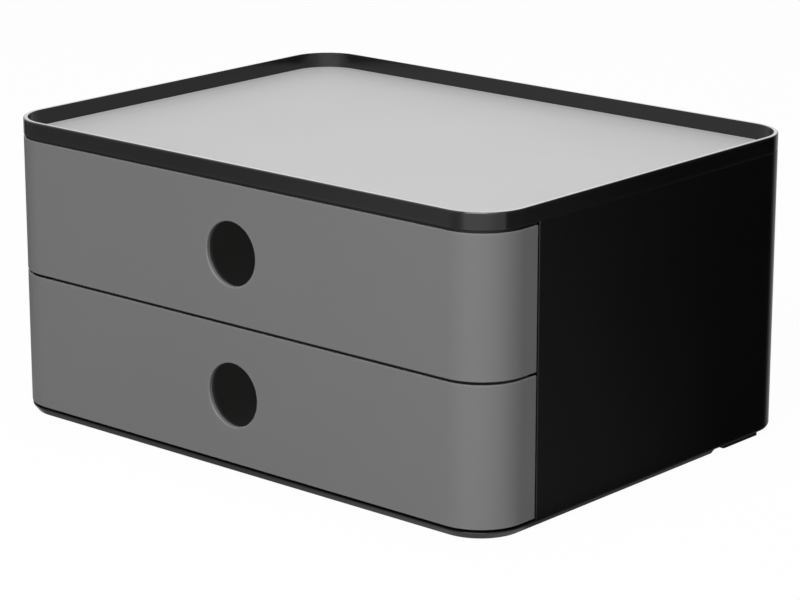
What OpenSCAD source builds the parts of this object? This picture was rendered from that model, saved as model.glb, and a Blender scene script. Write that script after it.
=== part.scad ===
// Desk box with two drawers and a shallow tray for a top. Sizes are in millimetres.
// +X is the user's right, -Y is the side the drawers open to, and Z = 0 is the desk.

/* [Overall] */
// Width over the side walls
body_w = 260; // [220:1:320]
// Depth from the drawer fronts to the back wall
body_d = 195; // [170:1:250]
// Outer radius of the four upright corners
corner_r = 20; // [18:0.5:28]
// Height of one drawer front
front_h = 56.2; // [50:0.05:80]
// Gap above, between and below the drawer fronts
front_gap = 1.1; // [0.6:0.1:1.4]

/* [Casing shell] */
// Thickness of the side and back walls
wall_t = 2.4; // [2:0.1:3.2]
// Gap between the end of a drawer wing and the side wall
wing_gap = 0.7; // [0.4:0.1:1.5]
// Size of a screw tab along the width
tab_w = 14; // [12:0.5:18]
// Size of a screw tab along the depth
tab_l = 12; // [9:0.5:20]
// Distance from a foot's end to the screws beside it
tab_foot_gap = 7.7; // [5:0.1:15]
// Thickness of a lower screw tab
low_tab_t = 2.5; // [2:0.1:2.7]
// Thickness of an upper screw tab
top_tab_t = 2; // [1.5:0.1:2.2]
// Thickness of a screw tab under the shelf
shelf_tab_t = 2.4; // [1.8:0.1:3]

/* [Tray top] */
// Height of the dark band round the top
band_h = 6.8; // [5:0.1:12]
// Thickness of the rim at its top edge
rim_t = 1.8; // [1.8:0.1:3]
// How much thicker the rim is at the tray floor
rim_draft = 0.5; // [0.3:0.1:1]
// Depth from the top of the rim to the inlay's face
tray_depth = 6.4; // [4.5:0.1:7]
// Thickness of the light inlay sheet
inlay_t = 0.8; // [0.5:0.1:1.2]
// Gap between the inlay's edge and the rim
inlay_gap = 0.15; // [0.1:0.05:0.5]
// Thickness of the tray floor under the inlay
floor_t = 1.9; // [1.6:0.1:2.5]
// Height of the screw bosses under the tray floor
boss_h = 2; // [1.5:0.1:3]

/* [Base] */
// Height of the tapered skirt under the walls
skirt_h = 2.9; // [2.5:0.1:4]
// How far the skirt tapers in
skirt_inset = 2.2; // [1.5:0.1:3]
// Wall of the skirt at its lower edge
skirt_wall = 1.6; // [1.2:0.1:2.5]
// Thickness of the base flange that the walls stand on
flange_t = 0.8; // [0.8:0.1:1.8]
// Thickness of the base plate inside the walls
base_t = 1.9; // [1.8:0.1:2.6]
// Distance from the back to where the skirt ends
skirt_end = 51; // [48:0.5:80]

/* [Feet] */
// Height that the feet hold the skirt off the desk
foot_proud = 0.3; // [0.3:0.1:1.5]
// Length of a foot
foot_l = 23.6; // [16:0.2:25]
// Width of a foot
foot_w = 9; // [7:0.5:12]
// Distance of a rear foot from the side
rear_foot_inset = 2.5; // [2:0.1:6]
// Distance of a front foot from the side
front_foot_inset = 4.7; // [4.5:0.1:9]
// Distance from the ends of the body to the feet
foot_setback = 18; // [17:0.5:24]
// Diameter of the peg that holds a foot
foot_peg_d = 5; // [3:0.5:6]

/* [Drawer fronts] */
// Thickness of the front and its wings
front_t = 2; // [2:0.1:3]
// Length of the wings along the sides, from the front face
wing_l = 28.4; // [24:0.05:35]
// Diameter of the finger hole
hole_d = 26; // [20:0.5:32]
// Chamfer on the finger hole's outer edge
hole_chamfer = 0.5; // [0.2:0.1:0.8]
// Thickness of the thin lip along the top of a front
lip_t = 0.9; // [0.7:0.1:1.1]
// Gap between the lip and the tray floor's edge
lip_gap = 0.4; // [0.3:0.05:0.6]
// Distance of the front screws from the middle of the width
front_screw_x = 85; // [40:1:90]
// Height of the lower front screws over the drawer box
front_screw_low = 11; // [9:0.5:16]
// Height of the upper front screws over the drawer box
front_screw_high = 35; // [28:0.5:38]

/* [Drawer boxes] */
// Running gap under the drawer box
under_gap = 0.4; // [0.3:0.05:1]
// Running gap over the drawer box, under the screw heads
over_gap = 0.65; // [0.4:0.05:3]
// Wall thickness of the drawer box
box_wall = 1.8; // [1.5:0.1:2.5]
// Floor thickness of the drawer box
box_floor = 1.8; // [1.5:0.1:3]
// Outer corner radius of the drawer box
box_r = 14; // [10:0.5:14]
// Space behind a closed drawer box
box_rear_gap = 5.6; // [4.5:0.1:12]
// Thickness of the side rail of the drawer box
rail_t = 1.8; // [1.4:0.1:3]
// How far a drawer pulls out
travel = 115; // [90:1:118]

/* [Runners, shelf and stops] */
// Width of a runner
runner_w = 3; // [2.4:0.1:4]
// Height of a runner
runner_h = 6; // [4:0.1:10]
// Side clearance of the drawer box in its runners
run_gap = 0.6; // [0.4:0.05:1]
// Height of the running clearance under a side rail
ride_gap = 0.25; // [0.15:0.05:0.5]
// Diameter of the pegs that hold a runner
peg_d = 4; // [3:0.1:4.5]
// Depth of the peg holes in the wall
peg_depth = 1.4; // [1:0.1:1.6]
// Thickness of the shelf between the drawers
shelf_t = 1.8; // [1.4:0.1:2.2]
// Distance of the shelf's edge from the outside of the body
shelf_inset = 3.8; // [3.6:0.1:4.4]
// Thickness of the ledges that hold the shelf
ledge_t = 1.5; // [1:0.1:2]
// Reach of the ledges from the wall
ledge_w = 5; // [3:0.1:6]
// Distance of the stops from the middle of the width
stop_x = 70; // [45:1:85]
// Width of a stop clip
clip_w = 14; // [8:0.5:20]
// Thickness of a stop clip
clip_t = 1.2; // [0.9:0.1:1.4]
// Gap over the nose of a stop clip
nose_gap = 0.85; // [0.5:0.05:2]
// Thickness of a stop rib
stop_rib_t = 3; // [2:0.1:5]
// Diameter of a rear bumper
bumper_d = 8; // [6:0.5:12]
// Distance of the bumpers from the middle of the width
bumper_x = 40; // [15:1:50]

/* [Screws] */
// Diameter of the screw shanks
screw_d = 2.9; // [2.5:0.1:3]
// Diameter of the screw heads
head_d = 5.6; // [5:0.1:6]
// Height of the screw heads
head_h = 1.4; // [1:0.1:1.5]
// Diameter of the front screws' wide heads
front_head_d = 9; // [8:0.1:10]
// Diameter of the bosses on a drawer front
front_boss_d = 6.5; // [5.5:0.1:6.8]

/* [Hidden] */
$fn = 64;

fit = 0.1;              // gap between pieces that are pushed together
hole_fit = 0.05;        // radial gap of a screw in its pilot hole
clear_fit = 0.2;        // radial gap of a screw in a through hole
over = 1;               // how far a cutter runs past the face it cuts
sink = 0.5;             // how far a rib or tab is rooted in its wall
half_w = body_w / 2;
half_d = body_d / 2;
LEFT = -1;
RIGHT = 1;

// Heights, from the desk up
skirt_z = foot_proud;                             // lower edge of the skirt
seat_z = skirt_z + skirt_h;                       // top of the base flange, foot of the walls
flange_z = seat_z - flange_t;                     // underside of the base
plate_z = flange_z + base_t;                      // top of the base plate inside
low_front_z = seat_z + front_gap;                 // lower edge of the lower front
up_front_z = low_front_z + front_h + front_gap;   // lower edge of the upper front
band_z = up_front_z + front_h + front_gap;        // lower edge of the dark band
body_h = band_z + band_h;                         // top of the rim
floor_z = body_h - tray_depth - inlay_t;          // tray floor, under the inlay
plug_z = floor_z - floor_t;                       // underside of the tray floor
split_z = up_front_z - front_gap / 2;             // middle of the gap between the fronts
shelf_z = split_z - shelf_t / 2;                  // underside of the shelf
shelf_top_z = shelf_z + shelf_t;
top_tab_z = plug_z - boss_h - top_tab_t;          // underside of the upper tabs
ledge_gap = 0.2;                                  // play of the shelf under the upper ledges
box_lift = under_gap                              // drawer box over the lower edge of its front
    + max([plate_z + low_tab_t - low_front_z,
           shelf_top_z + ledge_gap + ledge_t - up_front_z,
           shelf_top_z + head_h - up_front_z]);
low_box_z = low_front_z + box_lift;
up_box_z = up_front_z + box_lift;
box_h = top_tab_z - head_h - over_gap - up_box_z;
clip_rise = min(plug_z - up_box_z, shelf_z - low_box_z) - box_h - nose_gap;

// Places along the width and depth
plug_inset = lip_t + lip_gap;                     // edge of the tray floor from the outside
lip_h = up_front_z + front_h - plug_z + lip_gap;  // height of the thin lip on a front
wall_y = -half_d + wing_l + wing_gap;             // front edge of the side walls
box_hw = half_w - wall_t - runner_w - run_gap;    // half width of the drawer box
box_y0 = -half_d + front_t;                       // front of the drawer box
box_y1 = half_d - wall_t - box_rear_gap;          // rear of the drawer box
runner_y0 = wall_y + 3;
runner_y1 = half_d - corner_r - 6;
runner_lead = 4;                                  // length of the sloped ends of a runner
rail_y0 = -half_d + wing_l + 1;
rail_y1 = half_d - corner_r - 4;
rail_reach = 0.5;                                 // gap between a side rail and the wall
peg_inset = 16;                                   // pegs from the runner's ends
ledge_y0 = wall_y + 1;
ledge_y1 = half_d - corner_r;
clip_front_y = box_y1 - box_wall - fit - clip_t;  // front face of a stop clip, drawer closed
stop_gap = 0.2;                                   // what is left at full travel
stop_y = clip_front_y - travel - stop_gap;        // rear face of a stop rib
stop_drop = 2;                                    // stop ribs end this far over the drawer box
clip_drop = 8;                                    // length of a clip's arms
nose_w = 1.4;                                     // thickness of a clip's nose at its top
rib_margin = 1;                                   // how far a stop rib is wider than its clip
tab_x = half_w - wall_t - tab_w / 2;              // middle of a screw tab
tab_y = half_d - foot_setback - foot_l - tab_foot_gap;
bumper_z = 24;                                    // bumpers over the drawer box's underside
bumper_gap = 0.3;
stem_d = 4;
stem_depth = 1.2;
front_head_h = 1.6;
screw_boss_wall = 2;
blind_t = 0.8;                                    // what is left in front of a blind pilot hole
tip_gap = 0.2;                                    // gap past a screw's tip
foot_r = 0.8;
drive_w = 0.7;                                    // cross recess in the screw heads
drive_l = 3;
drive_depth = 0.8;
peg_z = plate_z - 0.8;                            // top of a foot's peg

// --- shapes that repeat ---

// Rectangle with round corners, built from true arcs
module round_rect(w, d, r) {
    square([w - 2 * r, d], center = true);
    square([w, d - 2 * r], center = true);
    for (sx = [-1, 1], sy = [-1, 1])
        translate([sx * (w / 2 - r), sy * (d / 2 - r)])
            circle(r);
}

// Slab with the body's outline drawn in by inset, from height z0 to z1
module body_slab(inset, z0, z1) {
    translate([0, 0, z0])
        linear_extrude(z1 - z0)
            round_rect(body_w - 2 * inset, body_d - 2 * inset, corner_r - inset);
}

// Slab whose outline is drawn in by inset0 at z0 and by inset1 at z1
module taper_slab(inset0, inset1, z0, z1) {
    w = half_w - inset0;
    d = half_d - inset0;
    r = corner_r - inset0;
    grow = inset0 - inset1;
    h = z1 - z0;
    translate([0, 0, z0]) {
        rotate([90, 0, 90])
            linear_extrude(2 * (w - r), center = true)
                polygon([[-d, 0], [d, 0], [d + grow, h], [-d - grow, h]]);
        rotate([90, 0, 0])
            linear_extrude(2 * (d - r), center = true)
                polygon([[-w, 0], [w, 0], [w + grow, h], [-w - grow, h]]);
        for (sx = [-1, 1], sy = [-1, 1])
            translate([sx * (w - r), sy * (d - r), 0])
                cylinder(h = h, r1 = r, r2 = r + grow);
    }
}

// Block given by its lowest and highest corners
module block(low, high) {
    translate(low)
        cube(high - low);
}

// Cutter that runs past both sides of the body
module across(y0, y1, z0, z1) {
    block([-half_w - over, y0, z0], [half_w + over, y1, z1]);
}

// The four screw places, seen from above
module at_tabs() {
    for (side = [LEFT, RIGHT], y = [-tab_y, tab_y])
        translate([side * tab_x, y, 0])
            children();
}

// The four places of the screws that hold a front, on the drawer box's front wall
module at_front_screws(box_z) {
    for (x = [-front_screw_x, front_screw_x], z = [front_screw_low, front_screw_high])
        translate([x, -half_d + front_t, box_z + z])
            rotate([-90, 0, 0])
                children();
}

// Pan head with a cross recess below z = 0 and its shank above
module screw(shank_l, head, height) {
    difference() {
        union() {
            translate([0, 0, -height])
                cylinder(h = height, d = head);
            cylinder(h = shank_l, d = screw_d);
        }
        for (turn = [0, 90])
            rotate(turn)
                block([-drive_l / 2, -drive_w / 2, -height - over],
                      [drive_l / 2, drive_w / 2, -height + drive_depth]);
    }
}

// --- casing ---

module screw_tabs(z0, z1) {
    for (side = [LEFT, RIGHT], y = [-tab_y, tab_y])
        translate([side * tab_x, y, 0])
            block([side < 0 ? -tab_w / 2 - sink : -tab_w / 2, -tab_l / 2, z0],
                  [side > 0 ? tab_w / 2 + sink : tab_w / 2, tab_l / 2, z1]);
}

module shelf_ledges(z0, z1) {
    for (side = [0, 1])
        mirror([side, 0, 0])
            block([half_w - wall_t - ledge_w, ledge_y0, z0], [half_w - wall_t + sink, ledge_y1, z1]);
}

module runner_pegs(side, box_z, d, depth) {
    for (y = [runner_y0 + peg_inset, runner_y1 - peg_inset])
        translate([side * (half_w - wall_t), y, box_z + box_h - rail_t - ride_gap - runner_h / 2])
            rotate([0, side * 90, 0])
                translate([0, 0, -sink])
                    cylinder(h = depth + sink, d = d);
}

module bumper_at(box_z) {
    for (x = [-bumper_x, bumper_x])
        translate([x, half_d - wall_t, box_z + bumper_z])
            rotate([-90, 0, 0])
                children();
}

module casing_shell() {
    color([0.05, 0.052, 0.054])
    difference() {
        union() {
            difference() {
                body_slab(0, seat_z, band_z);
                body_slab(wall_t, seat_z - over, band_z + over);
                body_slab(plug_inset - fit, plug_z, band_z + over);
                across(-half_d - over, wall_y, seat_z - over, band_z + over);
            }
            screw_tabs(plate_z, plate_z + low_tab_t);
            screw_tabs(shelf_z - shelf_tab_t, shelf_z);
            screw_tabs(top_tab_z, top_tab_z + top_tab_t);
            shelf_ledges(shelf_z - ledge_t, shelf_z);
            shelf_ledges(shelf_top_z + ledge_gap, shelf_top_z + ledge_gap + ledge_t);
        }
        at_tabs() {
            translate([0, 0, plate_z - over])
                cylinder(h = low_tab_t + 2 * over, d = screw_d + 2 * hole_fit);
            translate([0, 0, shelf_z - shelf_tab_t - over])
                cylinder(h = shelf_tab_t + over + fit, d = screw_d + 2 * hole_fit);
            translate([0, 0, shelf_top_z])
                cylinder(h = ledge_gap + ledge_t + over, d = head_d + 2 * clear_fit);
            translate([0, 0, top_tab_z - over])
                cylinder(h = top_tab_t + 2 * over, d = screw_d + 2 * clear_fit);
        }
        for (box_z = [low_box_z, up_box_z]) {
            for (side = [LEFT, RIGHT])
                runner_pegs(side, box_z, peg_d + 2 * hole_fit, peg_depth);
            bumper_at(box_z)
                translate([0, 0, -over])
                    cylinder(h = stem_depth + fit + over, d = stem_d + 2 * hole_fit);
        }
    }
}

// A pair of ribs that a drawer's stop clips meet, hanging from z1 down to z0
module stop_ribs(z0, z1) {
    half_l = clip_w / 2 + rib_margin;
    for (x = [-stop_x, stop_x])
        block([x - half_l, stop_y - stop_rib_t, z0], [x + half_l, stop_y, z1]);
}

module top_tray() {
    slope = rim_draft / (body_h - floor_z);
    color([0.06, 0.062, 0.064])
    difference() {
        union() {
            body_slab(0, band_z, body_h);
            body_slab(plug_inset, plug_z, band_z + sink);
            at_tabs()
                translate([0, 0, plug_z - boss_h])
                    cylinder(h = boss_h + sink, d = screw_d + 2 * screw_boss_wall);
            stop_ribs(up_box_z + box_h + stop_drop, plug_z + sink);
        }
        taper_slab(rim_t + rim_draft, rim_t - slope * over, floor_z, body_h + over);
        at_tabs()
            translate([0, 0, plug_z - boss_h - over])
                cylinder(h = boss_h + over + floor_t - blind_t, d = screw_d + 2 * hole_fit);
    }
}

module top_inlay() {
    color([0.77, 0.765, 0.77])
        body_slab(rim_t + rim_draft + inlay_gap, floor_z, floor_z + inlay_t);
}

module base_plate() {
    color([0.055, 0.057, 0.058])
    difference() {
        union() {
            difference() {
                taper_slab(skirt_inset, 0, skirt_z, seat_z);
                body_slab(skirt_inset + skirt_wall, skirt_z - over, flange_z);
                across(half_d - skirt_end, half_d + over, skirt_z - over, flange_z);
            }
            body_slab(shelf_inset, flange_z, plate_z);
        }
        at_tabs()
            translate([0, 0, flange_z - over])
                cylinder(h = base_t + 2 * over, d = screw_d + 2 * clear_fit);
        for (side = [LEFT, RIGHT], end = [-1, 1])
            translate(foot_middle(side, end))
                cylinder(h = peg_z + fit, d = foot_peg_d + 2 * hole_fit);
    }
}

// Middle of a foot on the desk: side is left or right, end is -1 at the front and 1 at the rear
function foot_middle(side, end) =
    let (inset = end < 0 ? front_foot_inset : rear_foot_inset)
    [side * (half_w - inset - foot_w / 2), end * (half_d - foot_setback - foot_l / 2), 0];

module foot(side, end) {
    color([0.09, 0.09, 0.092])
    translate(foot_middle(side, end)) {
        linear_extrude(flange_z)
            round_rect(foot_w, foot_l, foot_r);
        cylinder(h = peg_z, d = foot_peg_d);
    }
}

module divider_shelf() {
    color([0.07, 0.072, 0.074])
    difference() {
        union() {
            body_slab(shelf_inset, shelf_z, shelf_top_z);
            stop_ribs(low_box_z + box_h + stop_drop, shelf_z + sink);
        }
        at_tabs()
            translate([0, 0, shelf_z - over])
                cylinder(h = shelf_t + 2 * over, d = screw_d + 2 * clear_fit);
    }
}

// Bar under a drawer box's side rail; its ends slope so that the rail leads in
module runner(side, box_z) {
    top = box_z + box_h - rail_t - ride_gap;
    x0 = side < 0 ? -half_w + wall_t : half_w - wall_t - runner_w;
    color([0.16, 0.16, 0.165])
    union() {
        translate([x0, 0, top - runner_h])
            rotate([90, 0, 90])
                linear_extrude(runner_w)
                    polygon([[runner_y0, 0], [runner_y1, 0], [runner_y1, runner_h - runner_lead / 2],
                        [runner_y1 - runner_lead, runner_h], [runner_y0 + runner_lead, runner_h],
                        [runner_y0, runner_h - runner_lead / 2]]);
        runner_pegs(side, box_z, peg_d, peg_depth - fit);
    }
}

module base_screws() {
    color([0.45, 0.45, 0.47])
        at_tabs()
            translate([0, 0, flange_z])
                screw(base_t + low_tab_t - tip_gap, head_d, head_h);
}

module shelf_screws() {
    color([0.45, 0.45, 0.47])
        at_tabs()
            translate([0, 0, shelf_top_z])
                mirror([0, 0, 1])
                    screw(shelf_t + shelf_tab_t - tip_gap, head_d, head_h);
}

module top_screws() {
    color([0.45, 0.45, 0.47])
        at_tabs()
            translate([0, 0, top_tab_z])
                screw(top_tab_t + boss_h + floor_t - blind_t - tip_gap, head_d, head_h);
}

module rear_bumpers() {
    length = box_rear_gap - bumper_gap;
    color([0.12, 0.12, 0.122])
        for (box_z = [low_box_z, up_box_z])
            bumper_at(box_z) {
                translate([0, 0, -length])
                    cylinder(h = length, d = bumper_d);
                cylinder(h = stem_depth, d = stem_d);
            }
}

// --- drawers ---

module drawer_front(front_z) {
    box_z = front_z + box_lift;
    top = front_z + front_h;
    color([0.435, 0.435, 0.435])
    difference() {
        union() {
            difference() {
                body_slab(0, front_z, top);
                body_slab(front_t, front_z - over, top + over);
                across(-half_d + wing_l, half_d + over, front_z - over, top + over);
            }
            at_front_screws(box_z)
                translate([0, 0, -sink])
                    cylinder(h = box_wall - fit + sink, d = front_boss_d);
        }
        body_slab(lip_t, top - lip_h, top + over);
        translate([0, -half_d, front_z + front_h / 2])
            rotate([-90, 0, 0]) {
                translate([0, 0, -over])
                    cylinder(h = front_t + 2 * over, d = hole_d);
                translate([0, 0, -over])
                    cylinder(h = hole_chamfer + over, d1 = hole_d + 2 * (hole_chamfer + over), d2 = hole_d);
            }
        at_front_screws(box_z)
            translate([0, 0, -front_t + blind_t])
                cylinder(h = front_t + box_wall, d = screw_d + 2 * hole_fit);
    }
}

module drawer_box(front_z) {
    box_z = front_z + box_lift;
    length = box_y1 - box_y0;
    mid_y = (box_y0 + box_y1) / 2;
    color([0.07, 0.072, 0.073])
    difference() {
        union() {
            translate([0, mid_y, box_z])
                linear_extrude(box_h)
                    round_rect(2 * box_hw, length, box_r);
            block([-half_w + wall_t + rail_reach, rail_y0, box_z + box_h - rail_t],
                  [half_w - wall_t - rail_reach, rail_y1, box_z + box_h]);
        }
        translate([0, mid_y, box_z + box_floor])
            linear_extrude(box_h)
                round_rect(2 * (box_hw - box_wall), length - 2 * box_wall, box_r - box_wall);
        translate([0, -half_d, front_z + front_h / 2])
            rotate([-90, 0, 0])
                cylinder(h = front_t + box_wall + over, d = hole_d + 1);
        at_front_screws(box_z)
            translate([0, 0, -over])
                cylinder(h = box_wall + 2 * over, d = front_boss_d + 2 * clear_fit);
    }
}

module front_screws(front_z) {
    color([0.45, 0.45, 0.47])
        at_front_screws(front_z + box_lift)
            translate([0, 0, box_wall])
                mirror([0, 0, 1])
                    screw(box_wall + front_t - blind_t - tip_gap, front_head_d, front_head_h);
}

// Clip over the rear wall of a drawer box; its nose meets a stop rib at full travel
module stop_clips(front_z) {
    top = front_z + box_lift + box_h;
    arm_y0 = clip_front_y;
    arm_y1 = box_y1 + fit + clip_t;
    color([0.16, 0.16, 0.165])
        for (x = [-stop_x, stop_x])
            translate([x - clip_w / 2, 0, 0])
                rotate([90, 0, 90])
                    linear_extrude(clip_w)
                        polygon([[arm_y0, top - clip_drop], [arm_y0 + clip_t, top - clip_drop],
                            [arm_y0 + clip_t, top + fit], [arm_y1 - clip_t, top + fit],
                            [arm_y1 - clip_t, top - clip_drop], [arm_y1, top - clip_drop],
                            [arm_y1, top + clip_t], [arm_y0 + nose_w, top + clip_rise],
                            [arm_y0, top + clip_rise]]);
}

casing_shell();
top_tray();
top_inlay();
base_plate();
divider_shelf();
runner(LEFT, up_box_z);  // upper_left_runner
runner(RIGHT, up_box_z);  // upper_right_runner
runner(LEFT, low_box_z);  // lower_left_runner
runner(RIGHT, low_box_z);  // lower_right_runner
foot(LEFT, -1);  // front_left_foot
foot(RIGHT, -1);  // front_right_foot
foot(LEFT, 1);  // rear_left_foot
foot(RIGHT, 1);  // rear_right_foot
base_screws();
shelf_screws();
top_screws();
rear_bumpers();
drawer_front(up_front_z);  // upper_drawer_front
drawer_box(up_front_z);  // upper_drawer_box
front_screws(up_front_z);  // upper_front_screws
stop_clips(up_front_z);  // upper_stop_clips
drawer_front(low_front_z);  // lower_drawer_front
drawer_box(low_front_z);  // lower_drawer_box
front_screws(low_front_z);  // lower_front_screws
stop_clips(low_front_z);  // lower_stop_clips
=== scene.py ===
# Desk box with two drawers and a tray top, dressed for rendering. Lengths are in metres.
import math

import bmesh
import bpy
import numpy as np
from mathutils import Matrix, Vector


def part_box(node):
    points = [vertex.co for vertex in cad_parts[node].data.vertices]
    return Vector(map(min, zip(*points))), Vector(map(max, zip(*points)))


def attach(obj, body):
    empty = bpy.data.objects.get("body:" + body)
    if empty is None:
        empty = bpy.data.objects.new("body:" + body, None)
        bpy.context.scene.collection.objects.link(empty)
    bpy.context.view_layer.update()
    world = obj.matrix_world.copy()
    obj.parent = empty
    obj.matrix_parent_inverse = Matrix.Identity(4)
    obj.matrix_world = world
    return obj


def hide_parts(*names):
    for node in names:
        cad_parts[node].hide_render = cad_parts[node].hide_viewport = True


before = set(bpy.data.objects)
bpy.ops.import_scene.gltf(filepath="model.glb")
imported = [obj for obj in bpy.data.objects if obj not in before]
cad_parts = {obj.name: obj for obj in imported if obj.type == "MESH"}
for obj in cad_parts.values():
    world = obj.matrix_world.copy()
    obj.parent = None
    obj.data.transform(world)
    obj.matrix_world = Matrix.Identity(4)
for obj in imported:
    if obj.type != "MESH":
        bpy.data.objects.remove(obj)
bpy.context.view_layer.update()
mm = 0.001
tiny = 1e-9
print("frame loaded with", len(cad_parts), "nodes")


# An output socket inside a recipe. Arithmetic on wires and numbers adds Math nodes.
class Wire:
    def __init__(self, recipe, socket):
        self.recipe = recipe
        self.socket = socket

    def combine(self, operation, first, second):
        return self.recipe.node("ShaderNodeMath", {"operation": operation}, {0: first, 1: second})

    def __add__(self, other):
        return self.combine("ADD", self, other)

    def __radd__(self, other):
        return self.combine("ADD", other, self)

    def __sub__(self, other):
        return self.combine("SUBTRACT", self, other)

    def __rsub__(self, other):
        return self.combine("SUBTRACT", other, self)

    def __mul__(self, other):
        return self.combine("MULTIPLY", self, other)

    def __rmul__(self, other):
        return self.combine("MULTIPLY", other, self)

    def __truediv__(self, other):
        return self.combine("DIVIDE", self, other)


# A node tree that is filled by one method: a node's type, its settings, then its sockets.
class Recipe:
    def __init__(self, owner):
        owner.use_nodes = True
        self.tree = owner.node_tree
        self.tree.nodes.clear()

    def node(self, kind, settings, inputs, output=0):
        made = self.tree.nodes.new(kind)
        for key, value in settings.items():
            if key == "stops":
                ramp = made.color_ramp
                while len(ramp.elements) < len(value):
                    ramp.elements.new(1.0)
                for element, (place, grey) in zip(ramp.elements, value):
                    element.position = place
                    element.color = (grey, grey, grey, 1)
            else:
                setattr(made, key, value)
        for key, value in inputs.items():
            if isinstance(value, Wire):
                self.tree.links.new(value.socket, made.inputs[key])
            elif isinstance(value, tuple) and len(value) == 3 and made.inputs[key].type == "RGBA":
                made.inputs[key].default_value = (*value, 1)
            else:
                made.inputs[key].default_value = value
        return Wire(self, made.outputs[output]) if made.outputs else made

    def colourMix(self, factor, first, second):
        return self.node("ShaderNodeMix", {"data_type": "RGBA"}, {0: factor, 6: first, 7: second}, 2)

    def ramp(self, stops, factor):
        return self.node("ShaderNodeValToRGB", {"stops": stops}, {"Fac": factor})

    def noise(self, place, scale, grade):
        detail, roughness = grade
        return self.node("ShaderNodeTexNoise", {}, {"Vector": place, "Scale": scale,
                                                    "Detail": detail, "Roughness": roughness})


def shaded(grey, factor):
    return tuple(channel * factor for channel in grey)


# Moulded plastic and its kin: a fine grain in the bump, slow clouds in colour and roughness,
# sparse rub marks, and an edge line that is smoother where hands touch it and a little lighter,
# partly as wear and partly as a painted highlight on the rounded edges.
# Where a wall stands in a narrow gap, a mask takes its gloss away and darkens its colour as painted
# shade.
def mouldedMaterial(name, look):
    material = bpy.data.materials.new(name)
    recipe = Recipe(material)
    place = recipe.node("ShaderNodeTexCoord", {}, {}, "Object")
    grain = recipe.noise(place, look["grainScale"], look["grainNoise"])
    clouds = recipe.noise(place, look["cloudScale"], look["cloudNoise"])
    stretched = recipe.node("ShaderNodeMapping", {}, {"Vector": place, "Scale": look["rubStretch"]})
    rubs = recipe.ramp(look["rubStops"], recipe.noise(stretched, look["rubScale"], look["rubNoise"]))
    wornAndHighlit = recipe.node("ShaderNodeAttribute", {"attribute_name": "edgeWear"}, {}, "Fac")
    matt = recipe.node("ShaderNodeAttribute", {"attribute_name": "leftMatt"}, {}, "Fac")
    base = recipe.colourMix(clouds, shaded(look["colour"], 1 - look["cloudDepth"]),
                            shaded(look["colour"], 1 + look["cloudDepth"]))
    # rounded edges lighter toward edgeColour: partly wear, partly a painted highlight
    base = recipe.colourMix(wornAndHighlit * look["edgeLift"], base, look["edgeColour"])
    # painted shade: walls in a narrow gap are darkened toward black
    base = recipe.colourMix(matt * look["gapPaintedShade"], base, (0.0, 0.0, 0.0))
    roughness = look["roughness"] + (clouds - 0.5) * look["roughSpread"] \
        + rubs * look["rubDepth"] - wornAndHighlit * look["edgePolish"] + matt * look["mattRoughening"]
    coat = look["coat"] * (1.0 - matt) if look["coat"] else 0.0
    bump = recipe.node("ShaderNodeBump", {}, {"Height": grain, "Strength": look["bumpStrength"],
                                              "Distance": look["bumpDistance"]})
    surface = recipe.node("ShaderNodeBsdfPrincipled", {}, {
        "Base Color": base, "Roughness": roughness, "Normal": bump, "Metallic": look["metallic"],
        "Specular IOR Level": look["specular"], "IOR": look["ior"],
        "Coat Weight": coat, "Coat Roughness": look["coatRoughness"],
        "Emission Color": look["paintedGlow"], "Emission Strength": 1.0})
    recipe.node("ShaderNodeOutputMaterial", {}, {"Surface": surface})
    return material


plainLook = {
    "colour": (0.1418, 0.1418, 0.1436), "roughness": 0.46, "specular": 0.36,
    "ior": 1.5, "metallic": 0.0, "coat": 0.0, "coatRoughness": 0.12, "paintedGlow": (0.0, 0.0, 0.0),
    "grainScale": 1500.0, "bumpStrength": 0.25, "bumpDistance": 0.00003,
    "cloudScale": 9.0, "cloudDepth": 0.03, "roughSpread": 0.10,
    "rubScale": 30.0, "rubStretch": (1.0, 1.0, 6.0), "rubDepth": 0.05,
    "rubStops": [(0.60, 0.0), (0.78, 1.0)],
    "grainNoise": (2.0, 0.6), "cloudNoise": (3.0, 0.55), "rubNoise": (4.0, 0.7),  # detail and roughness
    "edgeColour": (0.22, 0.22, 0.222), "edgeLift": 0.15, "edgePolish": 0.04,
    "gapPaintedShade": 0.7, "mattRoughening": 0.5,
}

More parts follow.
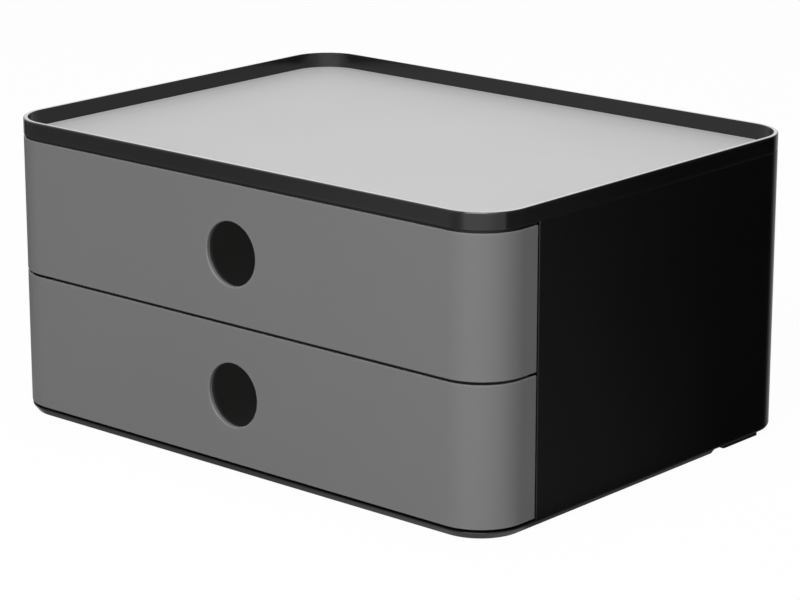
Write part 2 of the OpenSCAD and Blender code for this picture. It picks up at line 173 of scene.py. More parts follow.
# what differs from the plain look
looks = {
    "grey_front": {},
    "black_gloss": {"colour": (0.005, 0.005, 0.0051), "roughness": 0.18, "specular": 0.5,
                    "coat": 0.15, "bumpStrength": 0.12, "edgeColour": (0.03, 0.03, 0.03),
                    "grainScale": 900.0, "cloudDepth": 0.10, "edgePolish": 0.08},
    "black_base": {"colour": (0.005, 0.005, 0.0051), "roughness": 0.22, "specular": 0.36,
                   "bumpStrength": 0.12, "edgeColour": (0.03, 0.03, 0.03), "edgeLift": 0.1,
                   "grainScale": 900.0, "cloudDepth": 0.10},
    "black_shell": {"colour": (0.0038, 0.0039, 0.004), "roughness": 0.24, "specular": 0.5,
                    "bumpStrength": 0.5, "bumpDistance": 0.00005, "grainScale": 1300.0,
                    "edgeColour": (0.05, 0.05, 0.05), "edgeLift": 0.5, "cloudDepth": 0.12},
    # black_inner has a faint emission: a painted glow standing in for light that bounces inside the drawers
    "black_inner": {"colour": (0.014, 0.014, 0.0142), "roughness": 0.42, "specular": 0.4,
                    "paintedGlow": (0.0086, 0.0086, 0.0083),
                    "edgeColour": (0.03, 0.03, 0.03), "bumpStrength": 0.4, "cloudDepth": 0.10},
    "light_inlay": {"colour": (0.361, 0.356, 0.362), "roughness": 0.5, "specular": 0.1,
                    "cloudScale": 14.0, "cloudDepth": 0.015, "edgeColour": (0.6, 0.6, 0.6),
                    "rubStretch": (1.0, 5.0, 1.0), "grainScale": 1100.0, "bumpStrength": 0.15},
    "runner_nylon": {"colour": (0.04, 0.04, 0.042), "roughness": 0.38,
                     "edgeColour": (0.08, 0.08, 0.08), "rubDepth": 0.12},
    "foot_rubber": {"colour": (0.018, 0.018, 0.018), "roughness": 0.75, "specular": 0.25,
                    "bumpStrength": 0.7, "bumpDistance": 0.00008, "edgeColour": (0.03, 0.03, 0.03)},
    "screw_steel": {"colour": (0.50, 0.50, 0.52), "roughness": 0.34, "metallic": 1.0,
                    "grainScale": 4000.0, "cloudScale": 300.0, "rubScale": 400.0,
                    "edgeColour": (0.65, 0.65, 0.67)},
}
materials = {name: mouldedMaterial(name, {**plainLook, **look}) for name, look in looks.items()}
print("materials made:", len(materials))

# The most of an edge that a fillet may take, the steps in its arc, and how far past it a flat point
# stands, on edges that are a few times longer than the fillet.
filletValues = {"share": 0.45, "steps": 4, "margin": 0.8 * mm, "longEdge": 2.5}


# A loop of (inset, height) points round a section. Each corner is cut by an arc that is tangent to
# both its edges: centre = corner + bisector * radius / sin(half the angle). The edge mask, which the
# materials use for edge wear and a painted edge highlight, is 1 on the arcs and 0 on the flats.
def filletLoop(corners, radii, extra=None):
    v = filletValues
    corners = np.asarray(corners, float)
    count = len(corners)
    points, wear = [], []
    for i in range(count):
        here = corners[i]
        back, onward = corners[i - 1] - here, corners[(i + 1) % count] - here
        lengthBack, lengthOn = np.linalg.norm(back), np.linalg.norm(onward)
        back, onward = back / lengthBack, onward / lengthOn
        half = math.acos(np.clip(back @ onward, -1, 1)) / 2
        reach = min(radii[i] / math.tan(half), v["share"] * lengthBack, v["share"] * lengthOn)
        radius = reach * math.tan(half)
        centre = here + (back + onward) / np.linalg.norm(back + onward) * radius / math.sin(half)
        first, last = here + back * reach - centre, here + onward * reach - centre
        turn = math.atan2(first[0] * last[1] - first[1] * last[0], first @ last)
        angle = np.linspace(0, turn, v["steps"] + 1)
        arc = centre + np.stack([first[0] * np.cos(angle) - first[1] * np.sin(angle),
                                 first[0] * np.sin(angle) + first[1] * np.cos(angle)], 1)
        if lengthBack > v["longEdge"] * (reach + v["margin"]):
            points.append(here + back * (reach + v["margin"]))
            wear.append(0)
        points.extend(arc)
        wear.extend([1] * len(arc))
        if lengthOn > v["longEdge"] * (reach + v["margin"]):
            points.append(here + onward * (reach + v["margin"]))
            wear.append(0)
        for point in (extra or {}).get(i, []):
            points.append(np.asarray(point, float))
            wear.append(0)
    return np.array(points), np.array(wear, float)


# A path in plan made of lines and arcs: place = start + (end - start) * t on a line, and
# centre + radius * normal on an arc. It gives the places and their outward normals.
def planPath(parts):
    places, normals = [], []
    for part in parts:
        if part[0] == "line":
            start, end, steps = np.asarray(part[1], float), np.asarray(part[2], float), part[3]
            t = np.linspace(0, 1, steps + 1)[:, None]
            along = (end - start) / np.linalg.norm(end - start)
            place = start + (end - start) * t
            normal = np.tile([along[1], -along[0]], (steps + 1, 1))
        else:
            centre, radius, first, last, steps = part[1:]
            angle = np.radians(np.linspace(first, last, steps + 1))
            normal = np.stack([np.cos(angle), np.sin(angle)], 1)
            place = np.asarray(centre, float) + radius * normal
        skip = 1 if places and np.allclose(places[-1][-1], place[0], atol=tiny) else 0
        places.append(place[skip:])
        normals.append(normal[skip:])
    return np.concatenate(places), np.concatenate(normals)


# The body's outline seen from above, anticlockwise, from one point back to the same point.
def bodyOutline(halfW, halfD, radius, steps):
    x, y = halfW - radius, halfD - radius
    places, normals = planPath([
        ("line", (-x, -halfD), (x, -halfD), 2), ("arc", (x, -y), radius, -90, 0, steps),
        ("line", (halfW, -y), (halfW, y), 2), ("arc", (x, y), radius, 0, 90, steps),
        ("line", (x, halfD), (-x, halfD), 2), ("arc", (-x, y), radius, 90, 180, steps),
        ("line", (-halfW, y), (-halfW, -y), 2), ("arc", (-x, -y), radius, 180, 270, steps)])
    return places[:-1], normals[:-1]


# Carries a section round a path: place(u, v) = path(u) - inset(v) * normal(u), at height z(v).
# endRound draws the section in near the path's two ends, so an open path's ends are rounded too.
def carry(places, normals, section, endRound=None):
    inset = np.broadcast_to(section[:, 0], (len(places), len(section))).copy()
    height = np.broadcast_to(section[:, 1], inset.shape).copy()
    if endRound is not None:
        inset = np.clip(inset, endRound[:, None] + section[:, 0].min(),
                        section[:, 0].max() - endRound[:, None])
        height = np.clip(height, section[:, 1].min() + endRound[:, None],
                         section[:, 1].max() - endRound[:, None])
    flat = places[:, None, :] - inset[:, :, None] * normals[:, None, :]
    return np.concatenate([flat, height[:, :, None]], 2)


# Quads between neighbours on a grid of points, wrapping where the grid closes on itself.
def gridFaces(rows, columns, closedRows, closedColumns, keep=None):
    u = np.arange(rows if closedRows else rows - 1)
    v = np.arange(columns if closedColumns else columns - 1)
    u, v = [a.ravel() for a in np.meshgrid(u, v, indexing="ij")]
    if keep is not None:
        chosen = keep[u, v]
        u, v = u[chosen], v[chosen]
    nextU, nextV = (u + 1) % rows, (v + 1) % columns
    return np.stack([u * columns + v, nextU * columns + v,
                     nextU * columns + nextV, u * columns + nextV], 1)


meshValues = {"weld": 2e-6, "sharpAngle": 38, "normalWeight": 90}


# Puts a mesh in the scene with its material.
def placePiece(name, mesh, look):
    mesh.materials.append(materials[look])
    made = bpy.data.objects.new(name, mesh)
    bpy.context.scene.collection.objects.link(made)
    return made


# Steadies the normals, so flats stay flat up to their rounded edges.
def steadyNormals(made):
    steady = made.modifiers.new("steadyNormals", "WEIGHTED_NORMAL")
    steady.keep_sharp = True
    steady.weight = meshValues["normalWeight"]


# Collects closed shells and turns them into one piece that rides on a body.
class Shells:
    def __init__(self):
        self.points, self.faces, self.wear, self.matt, self.count = [], [], [], [], 0

    def add(self, points, faces, wear=None, matt=None):
        points = np.asarray(points, float).reshape(-1, 3)
        self.points.append(points)
        self.faces.extend([[int(i) + self.count for i in face] for face in faces])
        for kept, given in ((self.wear, wear), (self.matt, matt)):
            kept.append(np.zeros(len(points)) if given is None else np.asarray(given, float).ravel())
        self.count += len(points)

    def piece(self, name, look, body, replaced):
        mesh = bpy.data.meshes.new(name)
        mesh.from_pydata(np.concatenate(self.points).tolist(), [], self.faces)
        for layerName, values in (("edgeWear", self.wear), ("leftMatt", self.matt)):
            layer = mesh.attributes.new(layerName, "FLOAT", "POINT")
            layer.data.foreach_set("value", np.concatenate(values))
        shape = bmesh.new()
        shape.from_mesh(mesh)
        bmesh.ops.remove_doubles(shape, verts=shape.verts, dist=meshValues["weld"])
        bmesh.ops.recalc_face_normals(shape, faces=shape.faces)
        shape.to_mesh(mesh)
        shape.free()
        mesh.shade_smooth()
        mesh.set_sharp_from_angle(angle=math.radians(meshValues["sharpAngle"]))
        made = placePiece(name, mesh, look)
        steadyNormals(made)
        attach(made, body)
        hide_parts(*replaced)


# A ring section carried round the closed outline, with the loops at its two open ends capped flat.
def cappedBody(shells, places, normals, section, wear, matt=None):
    grid = carry(places, normals, section)
    rows, columns = grid.shape[:2]
    faces = list(gridFaces(rows, columns, True, False))
    faces.append(np.arange(rows)[::-1] * columns)
    faces.append(np.arange(rows) * columns + columns - 1)
    shells.add(grid, faces, np.tile(wear, rows), None if matt is None else np.tile(matt, rows))


# A round peg or boss: radius(v) carried round its axis; the ends are capped flat.
def turned(shells, centre, axis, profile, steps=24):
    angle = np.linspace(0, 2 * np.pi, steps, endpoint=False)
    across = [i for i in range(3) if i != axis]
    profile = np.asarray(profile, float)
    grid = np.zeros((steps, len(profile), 3))
    grid[:, :, across[0]] = centre[across[0]] + np.cos(angle)[:, None] * profile[:, 0]
    grid[:, :, across[1]] = centre[across[1]] + np.sin(angle)[:, None] * profile[:, 0]
    grid[:, :, axis] = profile[:, 1]
    faces = list(gridFaces(steps, len(profile), True, False))
    faces.append(np.arange(steps) * len(profile))
    faces.append(np.arange(steps)[::-1] * len(profile) + len(profile) - 1)
    shells.add(grid, faces)


blockValues = {"corner": 0.4 * mm, "cornerSteps": 3, "edge": 0.3 * mm}


# A block with rounded upright edges: its outline in plan carried from low to high.
def softBlock(shells, low, high):
    v = blockValues
    middleX, middleY = (low[0] + high[0]) / 2, (low[1] + high[1]) / 2
    halfW, halfD, ease = high[0] - middleX, high[1] - middleY, v["edge"]
    places, normals = bodyOutline(halfW, halfD, v["corner"], v["cornerSteps"])
    places = places + np.array([middleX, middleY])
    section = np.array([[ease, low[2]], [0, low[2] + ease], [0, high[2] - ease], [ease, high[2]]])
    cappedBody(shells, places, normals, section, np.array([1, 0, 0, 1.0]))


frontValues = {
    "thickness": 2 * mm, "corner": 20 * mm, "lip": 0.9 * mm, "lipDepth": 1.6 * mm,
    "lowerEdge": 0.4 * mm, "upperEdge": 0.2 * mm, "innerEdge": 0.25 * mm, "wingEdge": 0.6 * mm,
    "wingStops": (0, 0.08, 0.3, 0.62, 1.0), "wingSteps": 3, "faceSteps": 6, "cornerSteps": 24,
    "wearFrom": 0.01,  # of the way into the wing's rounded end
    "hole": 13 * mm, "holeEdge": 0.55 * mm, "holeStraight": 0.5 * mm, "holeBackEdge": 0.3 * mm,
    "holeRings": (0, 0.5, 0.88, 1.0), "holeBackRings": (0.5, 0), "edgeSteps": 5,
    "patch": 19 * mm, "patchSteps": 16,  # the square on the face that the hole's rings fill
    "bossRadius": 3.25 * mm, "bossLength": 1.7 * mm, "bossSink": 0.3 * mm, "bossEdge": 0.2 * mm,
    "screwX": 85 * mm, "screwZ": (13.9 * mm, 37.9 * mm),
}


# A drawer front: its rounded section carried round the plan line wing, corner, face, corner, wing.
# The face's middle is left open for a square patch of rings with the finger hole in it.
def drawerFront(name, node, body):
    v = frontValues
    low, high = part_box(node)
    z0, z1, faceY, wingY, halfW = low.z, high.z, low.y, high.y, high.x
    r, patch, n = v["corner"], v["patch"], v["patchSteps"]
    middleZ = (z0 + z1) / 2
    rising = np.linspace(middleZ - patch, middleZ + patch, n + 1)
    section, wear = filletLoop(
        [(0, z0), (0, z1), (v["lip"], z1), (v["lip"], z1 - v["lipDepth"]),
         (v["thickness"], z1 - v["lipDepth"]), (v["thickness"], z0)],
        [v["lowerEdge"], v["upperEdge"], v["innerEdge"], v["innerEdge"], v["innerEdge"], v["innerEdge"]],
        {0: [(0, z) for z in rising], 4: [(v["thickness"], z) for z in rising[::-1]]})
    x, y = halfW - r, faceY + r
    stops = [wingY - v["wingEdge"] * share for share in v["wingStops"]]
    arcSteps, faceSteps, wingSteps = v["cornerSteps"], v["faceSteps"], v["wingSteps"]
    places, normals = planPath(
        [("line", (-halfW, a), (-halfW, b), 1) for a, b in zip(stops[:-1], stops[1:])]
        + [("line", (-halfW, stops[-1]), (-halfW, y), wingSteps), ("arc", (-x, y), r, 180, 270, arcSteps),
           ("line", (-x, faceY), (-patch, faceY), faceSteps), ("line", (-patch, faceY), (patch, faceY), n),
           ("line", (patch, faceY), (x, faceY), faceSteps), ("arc", (x, y), r, -90, 0, arcSteps),
           ("line", (halfW, y), (halfW, stops[-1]), wingSteps)]
        + [("line", (halfW, b), (halfW, a), 1) for a, b in zip(stops[-2::-1], stops[:0:-1])])
    fromEnd = wingY - places[:, 1]
    near = np.clip(1 - fromEnd / v["wingEdge"], 0, 1)
    endRound = v["wingEdge"] * (1 - np.sqrt(1 - near ** 2))
    grid = carry(places, normals, section, endRound)
    rows, columns = grid.shape[:2]
    centreX = (places[:-1, 0] + places[1:, 0]) / 2
    isFace = np.abs(normals[:-1, 1] + 1) < tiny
    centreZ = (section + np.roll(section, -1, 0))[:, 1] / 2
    isFlat = np.abs(section[:, 0] - np.roll(section, -1, 0)[:, 0]) < tiny
    sheetSide = isFlat & ((section[:, 0] < tiny) | (section[:, 0] > v["thickness"] - tiny))
    keep = ~((isFace & (np.abs(centreX) < patch))[:, None]
             & (sheetSide & (np.abs(centreZ - middleZ) < patch))[None, :])
    faces = list(gridFaces(rows, columns, False, True, keep))
    faces.append(np.arange(columns)[::-1])
    faces.append(np.arange(columns) + (rows - 1) * columns)
    shells = Shells()
    endWearAndHighlight = np.maximum(wear[None, :], near[:, None] > v["wearFrom"])
    shells.add(grid, faces, endWearAndHighlight)

    # the hole: rings run from the square patch in to the round edge, through the wall and out again
    step = np.linspace(-patch, patch, n + 1)
    rim = np.concatenate([np.stack([step[:-1], np.full(n, -patch)], 1),
                          np.stack([np.full(n, patch), step[:-1]], 1),
                          np.stack([step[::-1][:-1], np.full(n, patch)], 1),
                          np.stack([np.full(n, -patch), step[::-1][:-1]], 1)])
    bearing = np.arctan2(rim[:, 1], rim[:, 0])
    unit = np.stack([np.cos(bearing), np.sin(bearing)], 1)
    e, hole, deep, back = v["holeEdge"], v["hole"], v["thickness"], v["holeBackEdge"]
    turnIn = np.linspace(0, np.pi / 2, v["edgeSteps"] + 1)
    rings, depths, ringWearAndHighlight = [], [], []
    for t in v["holeRings"]:
        rings.append(rim + ((hole + e) * unit - rim) * t)
        depths.append(0)
        ringWearAndHighlight.append(float(t == 1))
    for angle in turnIn[1:]:
        rings.append((hole + e - e * math.sin(angle)) * unit)
        depths.append(e - e * math.cos(angle))
        ringWearAndHighlight.append(1)
    rings.append(hole * unit)
    depths.append(e + v["holeStraight"])
    ringWearAndHighlight.append(0)
    for angle in turnIn:
        rings.append((hole + back - back * math.cos(angle)) * unit)
        depths.append(deep - back + back * math.sin(angle))
        ringWearAndHighlight.append(0)
    for t in v["holeBackRings"]:
        rings.append(rim + ((hole + back) * unit - rim) * t)
        depths.append(deep)
        ringWearAndHighlight.append(0)
    rings = np.array(rings)
    points = np.stack([rings[:, :, 0], np.broadcast_to(faceY + np.array(depths)[:, None], rings.shape[:2]),
                       rings[:, :, 1] + middleZ], 2)
    shells.add(points, gridFaces(len(rings), 4 * n, False, True), np.repeat(ringWearAndHighlight, 4 * n))

    for side in (-1, 1):
        for rise in v["screwZ"]:
            centre = (side * v["screwX"], 0, z0 + rise)
            wallY = faceY + v["thickness"]
            turned(shells, centre, 1, [(v["bossRadius"], wallY - v["bossSink"]),
                                       (v["bossRadius"], wallY + v["bossLength"] - v["bossEdge"]),
                                       (v["bossRadius"] - v["bossEdge"], wallY + v["bossLength"])])
    shells.piece(name, "grey_front", body, [node])


drawerFront("upperFrontPanel", "upper_drawer_front", "upper_drawer")
drawerFront("lowerFrontPanel", "lower_drawer_front", "lower_drawer")
print("drawer fronts made")

trayValues = {
    "corner": 20 * mm, "cornerSteps": 24, "rim": 1.8 * mm, "draft": 0.5 * mm, "plugInset": 1.3 * mm,
    "band": 6.8 * mm, "floorDrop": 7.2 * mm, "floor": 1.9 * mm, "reach": 6 * mm,
    "outerEdge": 0.5 * mm, "innerEdge": 0.12 * mm, "lowerEdge": 0.25 * mm, "floorEdge": 0.15 * mm,
    "plugEdge": 0.2 * mm, "plugRoot": 0.1 * mm, "shelterRise": 0.05 * mm, "shelterInset": 0.5 * mm,
    "bossRadius": 3.45 * mm, "boss": 2 * mm, "bossSink": 0.4 * mm,
    "screwX": 120.6 * mm, "screwY": 48.2 * mm, "ribX": 70 * mm, "ribHalf": 8 * mm, "ribDrop": 4.05 * mm,
    "ribRear": -28.8 * mm, "ribThick": 3 * mm, "ribSink": 0.5 * mm,
}


# The tray: one section with the rim, the band and the plug under it, carried round the body's outline
# and closed by a flat floor. The plug's wall and the band's underside lie in a gap; they stay matt and
# are darkened as painted shade.
def trayTop():
    v = trayValues
    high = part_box("top_tray")[1]
    top = high.z
    under, floorZ = top - v["band"], top - v["floorDrop"]
    plugZ = floorZ - v["floor"]
    places, normals = bodyOutline(high.x, high.y, v["corner"], v["cornerSteps"])
    loop, wear = filletLoop(
        [(v["reach"], plugZ), (v["plugInset"], plugZ), (v["plugInset"], under), (0, under), (0, top),
         (v["rim"], top), (v["rim"] + v["draft"], floorZ), (v["reach"], floorZ)],
        [0, v["plugEdge"], v["plugRoot"], v["lowerEdge"], v["outerEdge"], v["innerEdge"], v["floorEdge"], 0])
    shells = Shells()
    sheltered = (loop[:, 1] < under + v["shelterRise"]) & (loop[:, 0] > v["shelterInset"])
    cappedBody(shells, places, normals, loop, wear, sheltered)
    for side in (-1, 1):
        for end in (-1, 1):
            centre = (side * v["screwX"], end * v["screwY"], 0)
            turned(shells, centre, 2, [(v["bossRadius"], plugZ + v["bossSink"]),
                                       (v["bossRadius"], plugZ - v["boss"])])
        ribX, ribFront = side * v["ribX"], v["ribRear"] - v["ribThick"]
        softBlock(shells, (ribX - v["ribHalf"], ribFront, plugZ - v["ribDrop"]),
                  (ribX + v["ribHalf"], v["ribRear"], plugZ + v["ribSink"]))
    shells.piece("trayRim", "black_gloss", "casing", ["top_tray"])


trayTop()

inlayValues = {"corner": 17.55 * mm, "cornerSteps": 24, "edge": 0.2 * mm, "reach": 5 * mm}


# The sheet on the tray floor: its eased edge carried round the outline, closed flat above and below.
def inlaySheet():
    v = inlayValues
    low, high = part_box("top_inlay")
    places, normals = bodyOutline(high.x, high.y, v["corner"], v["cornerSteps"])
    loop, wear = filletLoop([(v["reach"], low.z), (0, low.z), (0, high.z), (v["reach"], high.z)],
                            [0, v["edge"], v["edge"], 0])
    shells = Shells()
    cappedBody(shells, places, normals, loop, wear)
    shells.piece("inlaySheet", "light_inlay", "casing", ["top_inlay"])


inlaySheet()
print("tray top made")

baseValues = {
    "corner": 20 * mm, "cornerSteps": 24, "skirtZ": 0.3 * mm, "seatZ": 3.2 * mm, "flangeZ": 2.4 * mm,
    "plateZ": 4.3 * mm, "reach": 7 * mm, "inset": 2.2 * mm, "skirtWall": 1.6 * mm, "plateInset": 3.8 * mm,
    "skirtEnd": 51 * mm, "endStops": (0, 0.1, 0.4, 1.0), "sink": 0.1 * mm,
    "edge": 0.3 * mm, "plateEdge": 0.15 * mm, "plateRoot": 0.1 * mm, "skirtRoot": 0.02 * mm,
    "skirtInner": 0.2 * mm,
}


# The base plate with its flange, and below it the skirt: a section that leans inward on its way down,
# carried from one skirt end at the rear round the front to the other.
def baseSkirt():
    v = baseValues
    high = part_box("base_plate")[1]
    halfW, halfD, r = high.x, high.y, v["corner"]
    slope = v["inset"] / (v["seatZ"] - v["skirtZ"])
    flangeInset = slope * (v["seatZ"] - v["flangeZ"])
    places, normals = bodyOutline(halfW, halfD, r, v["cornerSteps"])
    loop, wear = filletLoop(
        [(v["reach"], v["flangeZ"]), (flangeInset, v["flangeZ"]), (0, v["seatZ"]),
         (v["plateInset"], v["seatZ"]), (v["plateInset"], v["plateZ"]), (v["reach"], v["plateZ"])],
        [0, v["plateEdge"], v["edge"], v["plateRoot"], v["plateEdge"], 0])
    shells = Shells()
    cappedBody(shells, places, normals, loop, wear)
    x, y, endY = halfW - r, halfD - r, halfD - v["skirtEnd"]
    ends = endY - v["edge"] * np.array(v["endStops"])
    places, normals = planPath(
        [("line", (-halfW, a), (-halfW, b), 1) for a, b in zip(ends[:-1], ends[1:])]
        + [("line", (-halfW, ends[-1]), (-halfW, -y), 2), ("arc", (-x, -y), r, 180, 270, v["cornerSteps"]),
           ("line", (-x, -halfD), (x, -halfD), 2), ("arc", (x, -y), r, -90, 0, v["cornerSteps"]),
           ("line", (halfW, -y), (halfW, ends[-1]), 2)]
        + [("line", (halfW, b), (halfW, a), 1) for a, b in zip(ends[-2::-1], ends[:0:-1])])
    rootZ, innerInset = v["flangeZ"] + v["sink"], v["inset"] + v["skirtWall"]
    loop, wear = filletLoop(
        [(v["inset"], v["skirtZ"]), (flangeInset - v["sink"], rootZ), (innerInset, rootZ),
         (innerInset, v["skirtZ"])],
        [v["edge"], v["skirtRoot"], v["skirtRoot"], v["skirtInner"]])
    grid = carry(places, normals, loop)
    rows, columns = grid.shape[:2]
    faces = list(gridFaces(rows, columns, False, True))
    faces.append(np.arange(columns)[::-1])
    faces.append(np.arange(columns) + (rows - 1) * columns)
    shells.add(grid, faces, np.tile(wear, rows))
    shells.piece("baseSkirt", "black_base", "casing", ["base_plate"])


baseSkirt()
print("base made")

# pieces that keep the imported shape: look and slot, body, and how far their edges are eased in mm
easedValues = {
    "casing_shell": ("black_shell", "casing", 0.45),
    "divider_shelf": ("black_inner", "casing", 0.3),
    "upper_drawer_box": ("black_inner", "upper_drawer", 0.35),
    "lower_drawer_box": ("black_inner", "lower_drawer", 0.35),
    "upper_left_runner": ("runner_nylon", "casing", 0.3),
    "upper_right_runner": ("runner_nylon", "casing", 0.3),
    "lower_left_runner": ("runner_nylon", "casing", 0.3),
    "lower_right_runner": ("runner_nylon", "casing", 0.3),
    "upper_stop_clips": ("runner_nylon", "upper_drawer", 0.2),
    "lower_stop_clips": ("runner_nylon", "lower_drawer", 0.2),
    "front_left_foot": ("foot_rubber", "casing", 0.2),
    "front_right_foot": ("foot_rubber", "casing", 0.2),
    "rear_left_foot": ("foot_rubber", "casing", 0.2),
    "rear_right_foot": ("foot_rubber", "casing", 0.2),
    "rear_bumpers": ("foot_rubber", "casing", 0.3),
}
easeValues = {"weld": 1e-6, "flatAngle": 0.4, "cornerAngle": 40, "shortestEdge": 0.9 * mm,
              "sharpAngle": 35, "segments": 2}


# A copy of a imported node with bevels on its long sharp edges.
def easedCopy(node, look, body, easeMm):
    v = easeValues
    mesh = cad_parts[node].data.copy()
    shape = bmesh.new()
    shape.from_mesh(mesh)
    bmesh.ops.remove_doubles(shape, verts=shape.verts, dist=v["weld"])
    bmesh.ops.dissolve_limit(shape, angle_limit=math.radians(v["flatAngle"]), verts=shape.verts,
                             edges=shape.edges)
    weight = shape.edges.layers.float.new("bevel_weight_edge")
    for edge in shape.edges:
        corner = len(edge.link_faces) == 2 and edge.calc_face_angle() > math.radians(v["cornerAngle"])
        edge[weight] = float(corner and edge.calc_length() > v["shortestEdge"])
    shape.to_mesh(mesh)
    shape.free()
    mesh.materials.clear()
    mesh.shade_smooth()
    mesh.set_sharp_from_angle(angle=math.radians(v["sharpAngle"]))
    made = placePiece(node + "_eased", mesh, look)
    ease = made.modifiers.new("ease", "BEVEL")
    ease.width = easeMm * mm
    ease.segments = v["segments"]
    ease.limit_method = "WEIGHT"
    ease.use_clamp_overlap = True
    steadyNormals(made)
    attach(made, body)
    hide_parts(node)


for node, (look, body, ease) in easedValues.items():
    easedCopy(node, look, body, ease)
for node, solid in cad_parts.items():
    if node.endswith("_screws"):
        solid.data.materials.clear()
        solid.data.materials.append(materials["screw_steel"])
print("eased pieces made:", len(easedValues))


# An object's matrix from its right, up and back directions and its place.
def facing(right, up, back, place):
    return Matrix(np.vstack([np.column_stack([right, up, back, place]), [0, 0, 0, 1]]).tolist())


# The directions seen by something that looks at the middle from an azimuth and an elevation.
def bearings(azimuth, elevation):
    a, e = math.radians(azimuth), math.radians(elevation)
    back = np.array([math.sin(a) * math.cos(e), -math.cos(a) * math.cos(e), math.sin(e)])
    right = np.array([math.cos(a), math.sin(a), 0])
    return right, np.cross(back, right), back


# azimuth to the right of the front, then lens and sensor in millimetres; the aim is a step to the right
# and up in the picture from a point on the body's axis
cameraValues = {"azimuth": 41.30, "elevation": 15.69, "distance": 1.2575, "lens": 137.05,
                "sensor": 36, "nearest": 0.01, "aim": (1.405 * mm, -14.234 * mm), "aimHeight": 65.5 * mm}


def placeCamera():
    v = cameraValues
    right, up, back = bearings(v["azimuth"], v["elevation"])
    aim = np.array([0, 0, v["aimHeight"]]) + right * v["aim"][0] + up * v["aim"][1]
    data = bpy.data.cameras.new("photoCamera")
    data.lens = v["lens"]
    data.sensor_width = v["sensor"]
    data.clip_start = v["nearest"]
    camera = bpy.data.objects.new("photoCamera", data)
    bpy.context.scene.collection.objects.link(camera)
    camera.matrix_world = facing(right, up, back, aim + back * v["distance"])
    bpy.context.scene.camera = camera


placeCamera()

studioValues = {
    "floorRadius": 7.0, "floorSides": 96, "floorColour": (0.35, 0.35, 0.35), "floorWhite": 0.93,
    "white": 1.04, "ambient": 0.13,
    # What gloss mirrors, as if pale and dark cards lay about the body. On the floor in front, a level
    # by x times a level by y, both from -0.5 to 0.5 m in ramps from 0 to 1.
    "floorAcross": [(0.14, 0.28), (0.22, 0.40), (0.30, 0.55), (0.40, 0.38), (0.50, 0.34), (0.60, 0.60),
                    (0.625, 1.1), (0.95, 1.1)],
    "floorFront": [(0.08, 1.0), (0.28, 0.62), (0.38, 0.70), (0.415, 0.75), (0.43, 0.0)],
    # On the floor beside the body, a level by y + besideSlant * x + besideShift, gated by y and x; the gate
    # by x darkens the card right beside the body as a painted contact shadow.
    "besideSlant": -1.138, "besideShift": 0.648,
    "floorBeside": [(0.41, 0.10), (0.46, 0.075), (0.50, 0.045), (0.56, 0.0)],
    "besideGate": [(0.415, 0.0), (0.43, 1.0)], "besideContactShadow": [(0.630, 0.25), (0.645, 1.0)],
    # Far behind the body, a level by how nearly a ray heads for a bearing: one below the horizon, which
    # the floor lets through, and one above it.
    "rearBearing": (-0.574, 0.819),
    "rearGloss": [(0.64, 0.0), (0.68, 0.05), (0.79, 0.27), (0.86, 0.42), (0.95, 0.55)],
    "skyBearing": (0.656, 0.755),
    "skyGloss": [(0.0, 1.0), (0.46, 1.0), (0.53, 2.3), (0.60, 2.3), (0.70, 1.0), (0.92, 0.04)],
    # azimuth, elevation, distance, size and the level that white reaches square to the light
    "lights": {"key": (26.5, 36, 2.5, 1.8, 1.28), "topFill": (205, 89, 2.6, 1.2, 0.36)},
    "lampAim": 0.06,
}


# The x, y and z of a coordinate, each as a wire.
def placeParts(recipe, coordinate):
    place = recipe.node("ShaderNodeTexCoord", {}, {}, coordinate)
    parts = recipe.node("ShaderNodeSeparateXYZ", {}, {0: place})
    return [Wire(recipe, socket) for socket in parts.socket.node.outputs]


# Mostly white to the camera, with a little matt that keeps the body's shadow. Mirrored rays see the
# cards and go on through the floor to the world's, and all other light sees it matt.
def floorMaterial():
    v = studioValues
    material = bpy.data.materials.new("paleFloor")
    recipe = Recipe(material)
    seen = recipe.node("ShaderNodeLightPath", {}, {}, "Is Camera Ray")
    mirrored = recipe.node("ShaderNodeLightPath", {}, {}, "Is Glossy Ray")
    x, y, _ = placeParts(recipe, "Object")
    front = recipe.ramp(v["floorAcross"], x + 0.5) * recipe.ramp(v["floorFront"], y + 0.5)
    beside = recipe.ramp(v["floorBeside"], y + x * v["besideSlant"] + v["besideShift"]) \
        * recipe.ramp(v["besideGate"], y + 0.5) * recipe.ramp(v["besideContactShadow"], x + 0.5)
    card = recipe.node("ShaderNodeEmission", {}, {"Color": front + beside, "Strength": 1.0})
    through = recipe.node("ShaderNodeBsdfTransparent", {}, {"Color": (1.0, 1.0, 1.0)})
    gloss = recipe.node("ShaderNodeAddShader", {}, {0: card, 1: through})
    matt = recipe.node("ShaderNodeBsdfDiffuse", {}, {"Color": v["floorColour"]})
    white = recipe.node("ShaderNodeEmission", {}, {"Color": (1.0, 1.0, 1.0), "Strength": v["white"]})
    shown = recipe.node("ShaderNodeMixShader", {}, {0: seen * v["floorWhite"], 1: matt, 2: white})
    shown = recipe.node("ShaderNodeMixShader", {}, {0: mirrored, 1: shown, 2: gloss})
    recipe.node("ShaderNodeOutputMaterial", {}, {"Surface": shown})
    return material


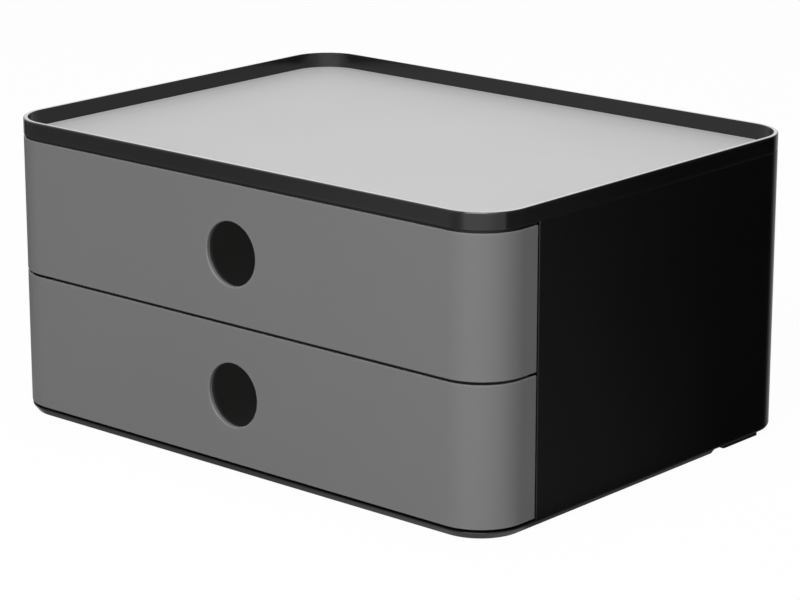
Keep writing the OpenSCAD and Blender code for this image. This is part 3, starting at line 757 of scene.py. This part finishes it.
def makeFloor():
    v = studioValues
    angle = np.linspace(0, 2 * np.pi, v["floorSides"], endpoint=False)
    ring = np.stack([np.cos(angle), np.sin(angle), np.zeros(len(angle))], 1) * v["floorRadius"]
    mesh = bpy.data.meshes.new("floor")
    mesh.from_pydata(ring.tolist(), [], [list(range(len(ring)))])
    floor = bpy.data.objects.new("floor", mesh)
    bpy.context.scene.collection.objects.link(floor)
    mesh.materials.append(floorMaterial())


# White to the camera, a plain dim level to diffuse light, and cards by bearing to mirrored rays.
def makeWorld():
    v = studioValues
    world = bpy.data.worlds.new("studioWorld")
    bpy.context.scene.world = world
    recipe = Recipe(world)
    seen = recipe.node("ShaderNodeLightPath", {}, {}, "Is Camera Ray")
    mirrored = recipe.node("ShaderNodeLightPath", {}, {}, "Is Glossy Ray")
    x, y, z = placeParts(recipe, "Generated")
    sky = recipe.ramp(v["skyGloss"], (x * v["skyBearing"][0] + y * v["skyBearing"][1] + 1.0) / 2.0)
    rear = recipe.ramp(v["rearGloss"], x * v["rearBearing"][0] + y * v["rearBearing"][1])
    above = recipe.node("ShaderNodeMath", {"operation": "GREATER_THAN"}, {0: z, 1: 0.0})
    card = recipe.colourMix(above, rear, sky)
    level = recipe.colourMix(mirrored, (v["ambient"],) * 3, card)
    level = recipe.colourMix(seen, level, (v["white"],) * 3)
    backdrop = recipe.node("ShaderNodeBackground", {}, {"Color": level, "Strength": 1.0})
    recipe.node("ShaderNodeOutputWorld", {}, {"Surface": backdrop})


def makeLamps():
    v = studioValues
    for name, (azimuth, elevation, distance, size, level) in v["lights"].items():
        right, up, back = bearings(azimuth, elevation)
        data = bpy.data.lights.new(name, "AREA")
        data.size = size
        data.energy = math.pi ** 2 * level * distance ** 2
        lamp = bpy.data.objects.new(name, data)
        bpy.context.scene.collection.objects.link(lamp)
        lamp.matrix_world = facing(right, up, back, back * distance + np.array([0, 0, v["lampAim"]]))


makeFloor()
makeWorld()
makeLamps()
bpy.context.scene.view_settings.view_transform = "Standard"
print("camera and studio ready")
